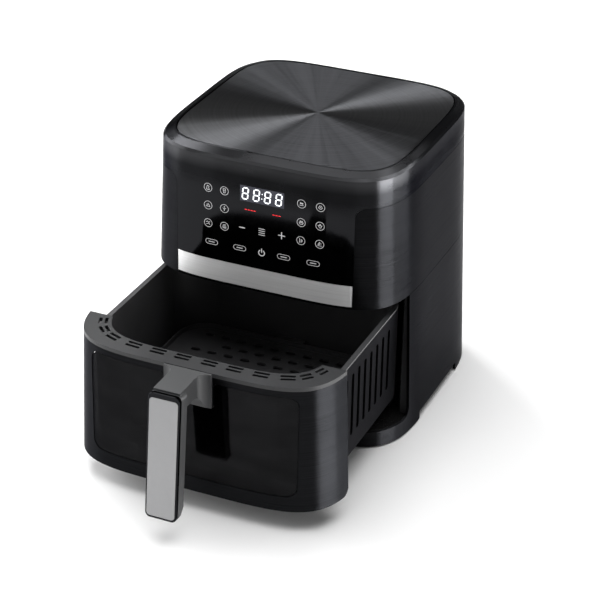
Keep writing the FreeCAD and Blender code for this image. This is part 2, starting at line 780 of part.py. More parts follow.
def runner(side):
    inner = RAIL_X - 12
    leg = box(inner, inner + 2, RUNNER_FRONT, RUNNER_REAR, RUNNER_BOTTOM, CRADLE_BOTTOM)
    shoe = box(inner, RAIL_X - 3, RUNNER_FRONT, RUNNER_REAR, RUNNER_BOTTOM, RUNNER_TOP)
    plate = box(inner - 7, inner + 2, RUNNER_FRONT, 84, CRADLE_BOTTOM - 2, CRADLE_BOTTOM + 0.5)
    shape = fuse([leg, shoe, plate])
    return shape if side > 0 else mirrored(shape)


def cradle():
    """Slotted plastic surround that hangs behind the drawer front."""
    wall = CRADLE_WALL
    outer = rounded_block(CRADLE_HALF, CRADLE_FRONT, CRADLE_REAR, CRADLE_BOTTOM, CRADLE_TOP,
                          CRADLE_RADIUS)
    inner = rounded_block(CRADLE_HALF - wall, CRADLE_FRONT + wall, CRADLE_REAR - wall,
                          CRADLE_BOTTOM + wall, CRADLE_TOP + 1, CRADLE_RADIUS - wall)
    shell = outer.cut(inner)
    for cutter in slot_cutters():
        shell = shell.cut(cutter)
    mouth = prism(rectangle(-INNER_WINDOW_HALF - 6, INNER_WINDOW_HALF + 6,
                            INNER_WINDOW_BOTTOM - 6, INNER_WINDOW_TOP + 6, 8), "XZ",
                  CRADLE_FRONT - 5, CRADLE_FRONT + 5)
    shell = shell.cut(mouth)
    floor_hole = rounded_block(80, -70, 60, CRADLE_BOTTOM - 1, CRADLE_BOTTOM + wall + 1, 20)
    shell = shell.cut(floor_hole)
    tabs = [box(x - 6, x + 6, CRADLE_FRONT - 17, CRADLE_FRONT + 0.5, RIM_BOTTOM - 5, RIM_BOTTOM)
            for x in TAB_SPOTS]
    posts = [box(x - 6, x + 6, CRADLE_FRONT, CRADLE_FRONT + 1.5, RIM_BOTTOM - 14, RIM_BOTTOM)
             for x in TAB_SPOTS]
    return fuse([shell, runner(1), runner(-1)] + tabs + posts)


def pan():
    """Non-stick pan that drops into the cradle and hangs on its lip."""
    half = CRADLE_HALF - CRADLE_WALL - PAN_GAP
    front = CRADLE_FRONT + CRADLE_WALL + PAN_GAP
    rear = CRADLE_REAR - CRADLE_WALL - PAN_GAP
    radius = CRADLE_RADIUS - CRADLE_WALL - PAN_GAP
    outer = rounded_block(half, front, rear, PAN_BOTTOM, CRADLE_TOP + PAN_LIP, radius)
    outer = outer.makeFillet(7.0, [e for e in outer.Edges if e.BoundBox.ZMax < PAN_BOTTOM + 0.1])
    inner = rounded_block(half - PAN_WALL, front + PAN_WALL, rear - PAN_WALL,
                          PAN_BOTTOM + PAN_WALL, CRADLE_TOP + 5, radius - PAN_WALL)
    inner = inner.makeFillet(5.5, [e for e in inner.Edges
                                   if e.BoundBox.ZMax < PAN_BOTTOM + PAN_WALL + 0.1])
    lip = rounded_block(CRADLE_HALF, CRADLE_FRONT, CRADLE_REAR, CRADLE_TOP,
                        CRADLE_TOP + PAN_LIP, CRADLE_RADIUS)
    for x in TAB_SPOTS:
        lip = lip.cut(box(x - 8, x + 8, CRADLE_FRONT - 3, CRADLE_FRONT + 1.8, 135, 150))
    mouth = prism(rectangle(-INNER_WINDOW_HALF, INNER_WINDOW_HALF, INNER_WINDOW_BOTTOM,
                            INNER_WINDOW_TOP, 6), "XZ", front - 3, front + 5)
    return fuse([outer, lip]).cut(inner).cut(mouth)


def pan_window():
    front = CRADLE_FRONT + CRADLE_WALL + PAN_GAP
    return prism(rectangle(-INNER_WINDOW_HALF - 3, INNER_WINDOW_HALF + 3,
                           INNER_WINDOW_BOTTOM - 3, INNER_WINDOW_TOP + 3, 7), "XZ",
                 front - 2.5, front)


def pan_window_frame():
    """Frame that clamps the pan glass from the front."""
    front = CRADLE_FRONT + CRADLE_WALL + PAN_GAP
    outer = prism(rectangle(-INNER_WINDOW_HALF - 5.5, INNER_WINDOW_HALF + 5.5,
                            INNER_WINDOW_BOTTOM - 5.5, INNER_WINDOW_TOP + 5.5, 8), "XZ",
                  front - 4.5, front)
    glass = prism(rectangle(-INNER_WINDOW_HALF - 3, INNER_WINDOW_HALF + 3,
                            INNER_WINDOW_BOTTOM - 3, INNER_WINDOW_TOP + 3, 7), "XZ",
                  front - 2.5, front + 1)
    mouth = prism(rectangle(-INNER_WINDOW_HALF + 1, INNER_WINDOW_HALF - 1,
                            INNER_WINDOW_BOTTOM + 1, INNER_WINDOW_TOP - 1, 6), "XZ",
                  front - 6, front + 1)
    return outer.cut(glass).cut(mouth)


def crisper_bounds():
    """Half width, front and rear of the crisper plate."""
    inset = CRADLE_WALL + PAN_GAP + PAN_WALL + CRISPER_GAP
    return CRADLE_HALF - inset, CRADLE_FRONT + inset, CRADLE_REAR - inset


def crisper_plate():
    """Perforated plate with four feet that lifts out of the pan."""
    half, front, rear = crisper_bounds()
    plate = rounded_block(half, front, rear, CRISPER_Z, CRISPER_Z + CRISPER_THICK, 30)
    rim = rounded_block(half, front, rear, CRISPER_Z, CRISPER_Z + 7, 30).cut(
        rounded_block(half - 1.5, front + 1.5, rear - 1.5, CRISPER_Z - 1, CRISPER_Z + 8, 28.5))
    feet_list = [rod(x, y, PAN_BOTTOM + PAN_WALL + 0.3, 4, CRISPER_Z - PAN_BOTTOM - PAN_WALL)
                 for x in (-80, 80) for y in (-72, 64)]
    holes = []
    for row in range(-5, 6):
        for column in range(-5, 6):
            x = column * 18.0
            y = -4 + row * 16.0
            if row % 2:
                x += 9.0
            if abs(x) < 96 and not (abs(abs(x) - 80) < 12 and abs(abs(y + 4) - 68) < 10):
                holes.append(prism(rectangle(x - 5, x + 5, y - 3, y + 3, 2.9), "XY",
                                   CRISPER_Z - 1, CRISPER_Z + CRISPER_THICK + 1))
    plate = fuse([plate, rim] + feet_list)
    return plate.cut(Part.makeCompound(holes))


def crisper_bumpers():
    """Silicone blocks that keep the plate centred in the pan."""
    half, front, rear = crisper_bounds()
    reach = CRISPER_GAP - 0.4
    z0 = CRISPER_Z + 0.5
    z1 = CRISPER_Z + 6.5
    return group([
        prism(rectangle(half, half + reach, -15, 15, 1.5), "XY", z0, z1),
        prism(rectangle(-half - reach, -half, -15, 15, 1.5), "XY", z0, z1),
        prism(rectangle(-15, 15, front - reach, front, 1.5), "XY", z0, z1),
        prism(rectangle(-15, 15, rear, rear + reach, 1.5), "XY", z0, z1),
    ])


def drawer_magnet():
    return prism(rectangle(-89, -79, 121, 131, 1.0), "YZ", 122.3, 125.0)


# ---------------------------------------------------------------- handle

def to_grip(shape):
    """Lean a shape built upright at the grip foot and move it into place."""
    shape.rotate(V(0, 0, 0), V(1, 0, 0), -GRIP_LEAN)
    shape.translate(V(0, GRIP_FOOT_Y, GRIP_FOOT_Z))
    return shape


def grip_plate():
    return to_grip(prism(rectangle(*GRIP_PLATE), "XZ", 0.0, 1.4))


def grip_frame():
    outer = prism(rectangle(-GRIP_HALF, GRIP_HALF, 0, GRIP_HEIGHT, 5), "XZ", 0.4, GRIP_SKIN)
    pocket = prism(rectangle(*GRIP_PLATE), "XZ", -1.0, 1.4)
    frame = outer.cut(pocket)
    edges = [e for e in frame.Edges if e.BoundBox.YMax < 0.41
             and (e.BoundBox.XMax > 14.5 or e.BoundBox.XMin < -14.5
                  or e.BoundBox.ZMin > 120 or e.BoundBox.ZMax < 1)]
    return to_grip(frame.makeChamfer(0.5, edges))


def handle_body():
    """Arm and rear half of the grip in one moulding."""
    grip = prism(rectangle(-GRIP_HALF, GRIP_HALF, 0, GRIP_HEIGHT, 5), "XZ", GRIP_SKIN, GRIP_DEPTH)
    heel = prism([(GRIP_DEPTH + 1, -1, 0), (GRIP_DEPTH + 1, 12, 0), (6, -1, 0)], "YZ", -20, 20)
    grip = to_grip(grip.cut(heel))
    plan = [
        (-ROOT_HALF, -FRONT, 0),
        (-ROOT_HALF, ARM_START, 0),
        (-ARM_HALF, ARM_START, ARM_FILLET),
        (-ARM_HALF, ARM_END, 0),
        (ARM_HALF, ARM_END, 0),
        (ARM_HALF, ARM_START, ARM_FILLET),
        (ROOT_HALF, ARM_START, 0),
        (ROOT_HALF, -FRONT, 0),
    ]
    side = [
        (-FRONT, ARM_BOTTOM, 0),
        (-FRONT, ARM_TOP, 0),
        (ARM_END - 3, ARM_TOP, 3),
        (ARM_END - 3, ARM_BOTTOM + 3, 0),
        (ARM_END, ARM_BOTTOM + 1, 0),
        (ARM_END + 4, ARM_BOTTOM + 15, 10),
        (ARM_START - 5, ARM_BOTTOM + 13, 10),
        (ARM_START - 0.5, ARM_BOTTOM, 0),
    ]
    arm = prism(plan, "XY", 100, 160).common(prism(side, "YZ", -30, 30))
    body = fuse([grip, arm])
    for x in HANDLE_SCREWS:
        body = body.cut(rod(x, ARM_START - 0.6, HANDLE_SCREW_Z, 1.2, 10, V(0, 1, 0)))
    return body


def handle_screws():
    screws = []
    seat = FASCIA_WALL - FRONT
    for x in HANDLE_SCREWS:
        shank = rod(x, ARM_START + 0.4, HANDLE_SCREW_Z, 1.2, 6.0, V(0, 1, 0))
        head = rod(x, seat + 0.1, HANDLE_SCREW_Z, 3.4, 2.0, V(0, 1, 0))
        slot = box(x - 2.2, x + 2.2, seat + 1.1, seat + 2.5, HANDLE_SCREW_Z - 0.4,
                   HANDLE_SCREW_Z + 0.4)
        screws.append(fuse([shank, head]).cut(slot))
    return group(screws)


# ---------------------------------------------------------------- build

FIXED = {
    "lower_shell": lower_shell,
    "upper_shell": upper_shell,
    "gloss_housing": gloss_housing,
    "top_plate": top_plate,
    "silver_strip": silver_strip,
    "rear_panel": rear_panel,
    "cord_inlet": cord_inlet,
    "rear_screws": rear_screws,
    "base_tray": base_tray,
    "feet": feet,
    "base_screws": base_screws,
    "cavity_liner": cavity_liner,
    "cavity_bezel": cavity_bezel,
    "rail_left": lambda: rail(-1),
    "rail_right": lambda: rail(1),
    "reed_switch": reed_switch,
    "heat_dome": heat_dome,
    "insulation_pad": insulation_pad,
    "heater_coil": heater_coil,
    "heater_clips": heater_clips,
    "heater_guard": heater_guard,
    "fan_motor": fan_motor,
    "motor_bracket": motor_bracket,
    "motor_screws": motor_screws,
    "exhaust_duct": exhaust_duct,
    "thermal_cutout": thermal_cutout,
    "temperature_probe": temperature_probe,
    "power_board": power_board,
    "relay": relay,
    "filter_capacitor": filter_capacitor,
    "control_carrier": control_carrier,
    "touch_board": touch_board,
    "display_module": display_module,
    "motor_shaft": motor_shaft,
    "convection_fan": convection_fan,
    "cooling_fan": cooling_fan,
    "shaft_nuts": shaft_nuts,
}

DRAWER = {
    "fascia": fascia,
    "vent_rim": vent_rim,
    "outer_window": outer_window,
    "cradle": cradle,
    "pan": pan,
    "pan_window": pan_window,
    "pan_window_frame": pan_window_frame,
    "drawer_magnet": drawer_magnet,
    "handle_body": handle_body,
    "grip_frame": grip_frame,
    "grip_plate": grip_plate,
    "handle_screws": handle_screws,
    "crisper_plate": crisper_plate,
    "crisper_bumpers": crisper_bumpers,
}


def main():
    os.makedirs("parts", exist_ok=True)
    for nodes, y in ((FIXED, FRAME_Y), (DRAWER, FRAME_Y - DRAWER_OUT)):
        for name, make in nodes.items():
            shape = make()
            shape.translate(V(0, y, 0))
            shape.exportStep("parts/" + name + ".step")


main()
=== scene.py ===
import json
import math

import bpy
from mathutils import Matrix, Vector


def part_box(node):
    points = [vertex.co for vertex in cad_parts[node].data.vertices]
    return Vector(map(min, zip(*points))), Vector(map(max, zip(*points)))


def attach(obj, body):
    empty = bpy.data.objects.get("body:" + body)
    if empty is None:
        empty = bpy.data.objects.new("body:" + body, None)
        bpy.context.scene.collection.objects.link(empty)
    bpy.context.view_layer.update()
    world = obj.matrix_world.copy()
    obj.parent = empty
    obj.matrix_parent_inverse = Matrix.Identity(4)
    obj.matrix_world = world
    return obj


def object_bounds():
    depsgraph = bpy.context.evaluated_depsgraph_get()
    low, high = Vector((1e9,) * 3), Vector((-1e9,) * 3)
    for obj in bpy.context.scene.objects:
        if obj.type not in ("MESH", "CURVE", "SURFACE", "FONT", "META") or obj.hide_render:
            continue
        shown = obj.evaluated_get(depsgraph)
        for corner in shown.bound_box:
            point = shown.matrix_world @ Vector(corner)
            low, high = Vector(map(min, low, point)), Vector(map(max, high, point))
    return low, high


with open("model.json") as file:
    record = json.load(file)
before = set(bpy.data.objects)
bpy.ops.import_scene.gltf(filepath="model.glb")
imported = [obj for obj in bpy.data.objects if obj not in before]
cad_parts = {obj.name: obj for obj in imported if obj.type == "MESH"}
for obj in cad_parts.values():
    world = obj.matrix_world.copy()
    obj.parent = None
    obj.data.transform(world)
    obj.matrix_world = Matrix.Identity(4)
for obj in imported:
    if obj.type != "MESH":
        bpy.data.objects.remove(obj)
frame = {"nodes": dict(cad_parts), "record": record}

# Looks for the basket air fryer. Metres; the front faces -Y, Z is up.
# The CAD nodes keep their shape and get node materials. The control panel's print and
# lit marks are thin faces laid on the lid.

CAD_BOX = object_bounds()
NODES = frame["nodes"]
MM = 0.001


# ---------------------------------------------------------------- material helpers

class Look:
    """A node material built round one Principled shader, with object coordinates in metres."""

    def __init__(self, name, **sockets):
        self.material = bpy.data.materials.new(name)
        self.material.use_nodes = True
        self.tree = self.material.node_tree
        self.shader = self.tree.nodes["Principled BSDF"]
        self.place = self.node("ShaderNodeTexCoord").outputs["Object"]
        for key, value in sockets.items():
            self.set(key, value)

    def node(self, kind, **settings):
        made = self.tree.nodes.new(kind)
        for key, value in settings.items():
            setattr(made, key, value)
        return made

    def link(self, source, target):
        self.tree.links.new(source, target)

    def set(self, key, value):
        self.shader.inputs[key.replace("_", " ")].default_value = value

    def stretched(self, scale):
        """Object coordinates scaled by a different amount on each axis."""
        mapping = self.node("ShaderNodeMapping")
        mapping.inputs["Scale"].default_value = scale
        self.link(self.place, mapping.inputs["Vector"])
        return mapping.outputs["Vector"]

    def noise(self, scale, vector=None, detail=3.0, roughness=0.55):
        texture = self.node("ShaderNodeTexNoise")
        texture.inputs["Scale"].default_value = scale
        texture.inputs["Detail"].default_value = detail
        texture.inputs["Roughness"].default_value = roughness
        self.link(vector or self.place, texture.inputs["Vector"])
        return texture.outputs["Fac"]

    def spread(self, value, low, high, source=(0.3, 0.7)):
        """Maps a value from the source range to low and high, and no further."""
        ranged = self.node("ShaderNodeMapRange")
        ranged.inputs["From Min"].default_value = source[0]
        ranged.inputs["From Max"].default_value = source[1]
        ranged.inputs["To Min"].default_value = low
        ranged.inputs["To Max"].default_value = high
        self.link(value, ranged.inputs["Value"])
        return ranged.outputs["Result"]

    def colours(self, value, stops):
        """Colour ramp; stops are (position, (r, g, b))."""
        ramp = self.node("ShaderNodeValToRGB")
        for element, (position, rgb) in zip(ramp.color_ramp.elements, stops):
            element.position = position
            element.color = (*rgb, 1.0)
        self.link(value, ramp.inputs["Fac"])
        return ramp.outputs["Color"]

    def mix(self, a, b, factor):
        blended = self.node("ShaderNodeMix", data_type="FLOAT")
        self.link(a, blended.inputs["A"])
        self.link(b, blended.inputs["B"])
        blended.inputs["Factor"].default_value = factor
        return blended.outputs["Result"]

    def colour(self, output):
        self.link(output, self.shader.inputs["Base Color"])

    def rough(self, output):
        self.link(output, self.shader.inputs["Roughness"])

    def bump(self, height, strength, distance):
        made = self.node("ShaderNodeBump")
        made.inputs["Strength"].default_value = strength
        made.inputs["Distance"].default_value = distance
        self.link(height, made.inputs["Height"])
        self.link(made.outputs["Normal"], self.shader.inputs["Normal"])

    def around_z(self, amount):
        """Grooves that run round the upright axis, so the gloss spreads across them."""
        tangent = self.node("ShaderNodeTangent", direction_type="RADIAL", axis="Z")
        self.link(tangent.outputs["Tangent"], self.shader.inputs["Tangent"])
        self.set("Anisotropic", amount)
        self.set("Anisotropic_Rotation", 0.25)


def shades(rgb, change):
    """Darker and lighter versions of a colour, as ramp stops."""
    low = tuple(c * (1 - change) for c in rgb)
    high = tuple(min(1.0, c * (1 + change)) for c in rgb)
    return [(0.3, low), (0.7, high)]


def textured(name, rgb, roughness, grain, change=0.12, depth=0.04, **sockets):
    """Moulded plastic, rubber or coating: fine grain, slow patches of wear in the gloss."""
    look = Look(name, **sockets)
    patches = look.noise(14.0, detail=4.0)
    fine = look.noise(grain, detail=2.0)
    look.colour(look.colours(look.mix(patches, fine, 0.35), shades(rgb, change)))
    look.rough(look.spread(look.mix(patches, fine, 0.3), roughness - 0.07, roughness + 0.07))
    look.bump(fine, 0.35, depth * MM)
    return look.material


def hairline(name, rgb, roughness, metallic, scale, change, depth, anisotropy=0.0, **sockets):
    """Brushed surface; scale is how fast the grain changes along x, y and z, per metre."""
    look = Look(name, Metallic=metallic, **sockets)
    grain = look.noise(1.0, look.stretched(scale), detail=4.0, roughness=0.7)
    patches = look.noise(9.0, detail=3.0)
    look.colour(look.colours(look.mix(grain, patches, 0.25), shades(rgb, change)))
    look.rough(look.spread(look.mix(grain, patches, 0.35), roughness - 0.08, roughness + 0.08))
    look.bump(grain, 0.3, depth * MM)
    if anisotropy:
        look.around_z(anisotropy)
    return look.material


def polished(name, rgb, roughness, **sockets):
    """Gloss moulding with faint wipe marks in its polish."""
    look = Look(name, **sockets)
    wipes = look.noise(1.0, look.stretched((30.0, 30.0, 90.0)), detail=4.0)
    dust = look.noise(900.0, detail=1.0)
    look.colour(look.colours(look.mix(wipes, dust, 0.3), shades(rgb, 0.15)))
    look.rough(look.spread(look.mix(wipes, dust, 0.2), roughness * 0.7, roughness * 1.4))
    look.bump(wipes, 0.05, 0.02 * MM)
    return look.material


# ---------------------------------------------------------------- looks for the CAD nodes

LID_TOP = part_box("gloss_housing")[1][2]
SATIN_STARTS = (LID_TOP - 46.8 * MM, LID_TOP - 24.8 * MM)   # the lid turns satin between these
SHOULDER = (LID_TOP - 18.8 * MM, LID_TOP - 7.8 * MM)        # heights of the curved shoulder, where the colour's painted highlight comes in
HORIZONTAL = (5.0, 5.0, 1500.0)         # grain that runs round the body
EDGE_TINT = (0.52, 0.52, 0.53, 1.0)     # how strongly the film mirrors at a flat angle


def turned_top():
    """Dark plate turned on a lathe: fine rings, gloss that fans out from the middle, and a painted
    sheen of radial lines in its colour.
    """
    look = Look("turned_top", Metallic=1.0)
    low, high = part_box("top_plate")
    middle = look.node("ShaderNodeMapping")
    middle.inputs["Location"].default_value = (-(low[0] + high[0]) / 2,
                                               -(low[1] + high[1]) / 2, 0)
    look.link(look.place, middle.inputs["Vector"])
    flat = look.node("ShaderNodeVectorMath", operation="MULTIPLY")
    flat.inputs[1].default_value = (1.0, 1.0, 0.0)
    look.link(middle.outputs["Vector"], flat.inputs[0])
    length = look.node("ShaderNodeVectorMath", operation="LENGTH")
    look.link(flat.outputs["Vector"], length.inputs[0])
    rings = look.node("ShaderNodeTexNoise", noise_dimensions="1D")
    rings.inputs["Scale"].default_value = 420.0
    rings.inputs["Detail"].default_value = 3.0
    look.link(length.outputs["Value"], rings.inputs["W"])
    direction = look.node("ShaderNodeVectorMath", operation="NORMALIZE")
    look.link(flat.outputs["Vector"], direction.inputs[0])
    # Painted sheen: radial lines in the colour, fanning out from the middle, stand in for the
    # light the turned rings catch; the rings in the colour are the plate's own grain.
    painted_sheen_streaks = look.noise(11.0, direction.outputs["Vector"], detail=6.0, roughness=0.7)
    rings_and_sheen = look.mix(rings.outputs["Fac"], painted_sheen_streaks, 0.5)
    look.colour(look.colours(rings_and_sheen, shades((0.051, 0.052, 0.056), 0.5)))
    look.rough(look.spread(rings_and_sheen, 0.38, 0.50))
    look.bump(rings.outputs["Fac"], 0.25, 0.02 * MM)
    look.around_z(1.0)
    return look.material


def lid():
    """Black lid: mirror gloss on the control panel, satin on the band and shoulder above it, and a
    painted highlight that lightens the shoulder's colour.
    """
    look = Look("gloss_housing", Metallic=1.0, Specular_Tint=(0.45, 0.45, 0.46, 1.0))
    wipes = look.noise(1.0, look.stretched((30.0, 30.0, 90.0)), detail=4.0)
    split = look.node("ShaderNodeSeparateXYZ")
    look.link(look.place, split.inputs["Vector"])
    # Painted highlight: the colour turns from the panel's near black to a lighter grey up the
    # curved shoulder, standing in for the light the shoulder catches.
    shoulder_sheen_mask = look.spread(split.outputs["Z"], 0.0, 1.0, SHOULDER)
    panel = (0.0140, 0.0143, 0.0155)
    shoulder = (0.0420, 0.0425, 0.0450)
    look.colour(look.colours(look.mix(shoulder_sheen_mask, wipes, 0.03), [(0.02, panel), (0.97, shoulder)]))
    satin = look.spread(split.outputs["Z"], 0.05, 0.30, SATIN_STARTS)
    uneven = look.node("ShaderNodeMath", operation="MULTIPLY")
    look.link(satin, uneven.inputs[0])
    look.link(look.spread(wipes, 0.85, 1.15), uneven.inputs[1])
    look.rough(uneven.outputs["Value"])
    look.around_z(1.0)
    return look.material


def smoked_glass():
    look = Look("smoked_glass", Alpha=0.93, Metallic=1.0, Specular_Tint=(0.5, 0.5, 0.51, 1.0))
    wipes = look.noise(1.0, look.stretched((24.0, 24.0, 70.0)), detail=3.0)
    look.colour(look.colours(wipes, shades((0.009, 0.009, 0.0095), 0.2)))
    look.rough(look.spread(wipes, 0.05, 0.10))
    return look.material


def inner_glass():
    look = Look("inner_glass", Alpha=0.35, IOR=1.5)
    wipes = look.noise(30.0, detail=3.0)
    look.colour(look.colours(wipes, shades((0.10, 0.105, 0.105), 0.2)))
    look.rough(look.spread(wipes, 0.06, 0.16))
    return look.material


LOOKS = {
    "shell": hairline("charcoal_hairline", (0.0088, 0.0090, 0.0098), 0.32, 1.0, HORIZONTAL,
                      0.45, 0.08, 1.0, Specular_Tint=EDGE_TINT),
    "fascia_hairline": hairline("fascia_hairline", (0.0105, 0.0108, 0.0118), 0.32, 1.0,
                                HORIZONTAL, 0.50, 0.10, 1.0, Specular_Tint=EDGE_TINT),
    "gloss": lid(),
    "top": turned_top(),
    "silver": hairline("silver_hairline", (0.86, 0.86, 0.86), 0.48, 0.7, (8.0, 8.0, 2200.0),
                       0.12, 0.03, 0.5),
    "grip_silver": hairline("grip_silver", (0.30, 0.30, 0.305), 0.42, 0.7, (60.0, 60.0, 60.0),
                            0.05, 0.02),
    "grey_trim": textured("grey_trim", (0.040, 0.041, 0.043), 0.45, 900.0,
                          Specular_IOR_Level=0.4),
    "rim_grey": textured("rim_grey", (0.016, 0.0165, 0.018), 0.40, 900.0,
                         Specular_IOR_Level=0.4),
    "black_plastic": textured("black_plastic", (0.010, 0.010, 0.011), 0.45, 800.0,
                              Specular_IOR_Level=0.3),
    "enamel": textured("black_enamel", (0.007, 0.007, 0.007), 0.22, 300.0, 0.2, 0.02,
                       Specular_IOR_Level=0.4),
    "ribbed_black": textured("ribbed_black", (0.006, 0.006, 0.0065), 0.38, 900.0,
                             Metallic=1.0, Specular_Tint=EDGE_TINT),
    "smoke_glass": smoked_glass(),
    "clear_glass": inner_glass(),
    "nonstick": textured("nonstick", (0.038, 0.038, 0.040), 0.36, 1200.0, Coat_Weight=0.2,
                         Coat_Roughness=0.3),
    "silicone": textured("silicone", (0.035, 0.035, 0.036), 0.62, 500.0),
    "rubber": textured("rubber", (0.018, 0.018, 0.018), 0.75, 600.0),
    "screw": hairline("zinc", (0.45, 0.46, 0.47), 0.35, 1.0, (300.0, 300.0, 300.0), 0.12, 0.02),
    "sheet": hairline("rolled_steel", (0.36, 0.365, 0.37), 0.42, 1.0, (20.0, 500.0, 500.0),
                      0.15, 0.02),
    "alu": hairline("aluminium", (0.60, 0.60, 0.61), 0.38, 1.0, (30.0, 400.0, 400.0), 0.1, 0.02),
    "wool": textured("ceramic_wool", (0.62, 0.60, 0.54), 0.95, 350.0, 0.2, 0.8),
    "element": hairline("element_steel", (0.22, 0.20, 0.18), 0.45, 1.0, (40.0, 40.0, 40.0),
                        0.3, 0.03),
    "wire": hairline("bright_wire", (0.62, 0.62, 0.62), 0.18, 1.0, (90.0, 90.0, 90.0), 0.06, 0.01),
    "motor_iron": hairline("laminations", (0.16, 0.16, 0.175), 0.45, 0.9, (6.0, 6.0, 2000.0),
                           0.35, 0.2),
    "white_plastic": textured("white_plastic", (0.66, 0.65, 0.61), 0.5, 700.0, 0.06),
    "board": textured("solder_mask", (0.02, 0.12, 0.055), 0.38, 300.0, 0.25),
    "relay_blue": textured("relay_blue", (0.03, 0.09, 0.26), 0.32, 700.0, 0.1),
    "cap_yellow": textured("capacitor_yellow", (0.62, 0.42, 0.05), 0.35, 700.0, 0.1),
    "lens": polished("lens_black", (0.010, 0.010, 0.011), 0.05),
    "magnet": hairline("nickel", (0.50, 0.49, 0.46), 0.25, 1.0, (120.0, 120.0, 120.0), 0.08, 0.01),
}

# Nodes whose look differs from the rest of their material slot.
NODE_LOOK = {
    "fascia": "fascia_hairline",
    "vent_rim": "rim_grey",
    "cavity_liner": "enamel",
    "cradle": "ribbed_black",
}


def dress_nodes():
    for piece in frame["record"]["subparts"]:
        name = piece["node"]
        node = NODES[name]
        node.data.materials.clear()
        node.data.materials.append(LOOKS[NODE_LOOK.get(name, piece["material_slot"])])


# ---------------------------------------------------------------- control panel graphics

# All in millimetres: to the right of the middle, and up from the top edge of the silver strip.
PANEL_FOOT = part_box("silver_strip")[1][2]
LINE_OF_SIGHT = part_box("silver_strip")[0][1] - 20 * MM      # just in front of the panel
PRINT_LIFT = 0.12           # how far the print stands in front of the panel
BACKING_LIFT = 0.05         # the same for the display's backing, which lies behind the digits


class Print:
    """Flat marks laid on the front of the lid."""

    def __init__(self, name, material, slot, lift=PRINT_LIFT):
        self.name = name
        self.material = material
        self.slot = slot
        self.lift = lift
        self.vertices = []
        self.faces = []

    def on_surface(self, x, z):
        start = Vector((x * MM, LINE_OF_SIGHT, PANEL_FOOT + z * MM))
        hit, place, normal, index = NODES["gloss_housing"].ray_cast(start, Vector((0, 1, 0)))
        if not hit:
            raise ValueError("a mark misses the panel at %.1f %.1f" % (x, z))
        return place - Vector((0, self.lift * MM, 0))

    def face(self, points):
        first = len(self.vertices)
        self.vertices += [self.on_surface(x, z) for x, z in points]
        self.faces.append(list(range(first, first + len(points))))

    def disc(self, x, z, radius, sides=20):
        corners = [2 * math.pi * i / sides for i in range(sides)]
        self.face([(x + radius * math.cos(a), z + radius * math.sin(a)) for a in corners])

    def stroke(self, points, width):
        """Line through points, with round ends."""
        for (x0, z0), (x1, z1) in zip(points, points[1:]):
            along = Vector((x1 - x0, z1 - z0)).normalized()
            side = Vector((-along.y, along.x)) * width / 2
            self.face([(x0 + side.x, z0 + side.y), (x0 - side.x, z0 - side.y),
                       (x1 - side.x, z1 - side.y), (x1 + side.x, z1 + side.y)])
        for x, z in points:
            self.disc(x, z, width / 2, 8)

    def arc(self, x, z, radius, start, end, width, steps=28):
        """Band along an arc, angles in degrees."""
        inner = radius - width / 2
        outer = radius + width / 2
        for i in range(steps):
            a = math.radians(start + (end - start) * i / steps)
            b = math.radians(start + (end - start) * (i + 1) / steps)
            self.face([(x + inner * math.cos(a), z + inner * math.sin(a)),
                       (x + outer * math.cos(a), z + outer * math.sin(a)),
                       (x + outer * math.cos(b), z + outer * math.sin(b)),
                       (x + inner * math.cos(b), z + inner * math.sin(b))])

    def finish(self):
        mesh = bpy.data.meshes.new(self.name)
        mesh.from_pydata([tuple(v) for v in self.vertices], [], self.faces)
        mesh.materials.append(self.material)
        made = bpy.data.objects.new(self.name, mesh)
        bpy.context.scene.collection.objects.link(made)
        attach(made, "housing")


def glow(name, rgb, strength, base):
    """Lit mark behind the gloss panel, a little uneven as lit marks are."""
    look = Look(name, Roughness=0.4, Emission_Strength=strength)
    uneven = look.noise(400.0, detail=1.0)
    look.colour(look.colours(uneven, shades(base, 0.1)))
    look.link(look.colours(uneven, shades(rgb, 0.08)), look.shader.inputs["Emission Color"])
    return look.material


DISPLAY_HALF = 22.5
DISPLAY_BOTTOM = 68.6
DISPLAY_TOP = 84.6
DISPLAY_STEPS = 12          # pieces across, so that the backing follows the panel's curve
DIGIT_CENTRE = 76.6
DIGIT_PITCH = 11.4
DIGIT_HALF_WIDTH = 2.75
DIGIT_HALF_HEIGHT = 5.7
DIGIT_STROKE = 1.3
DIGIT_GAP = 0.35            # between a segment's tip and the digit's corner
DIGIT_SLANT = 0.09
COLON_HALF = 2.4
COLON_RADIUS = 0.6


def draw_display_backing():
    """Faintly lit filter that the digits shine through."""
    backing = Print("display_window", glow("display_haze", (0.30, 0.33, 0.50), 0.06,
                                           (0.012, 0.012, 0.018)), "lens", BACKING_LIFT)
    step = 2 * DISPLAY_HALF / DISPLAY_STEPS
    for i in range(DISPLAY_STEPS):
        left = i * step - DISPLAY_HALF
        backing.face([(left, DISPLAY_BOTTOM), (left + step, DISPLAY_BOTTOM),
                      (left + step, DISPLAY_TOP), (left, DISPLAY_TOP)])
    backing.finish()


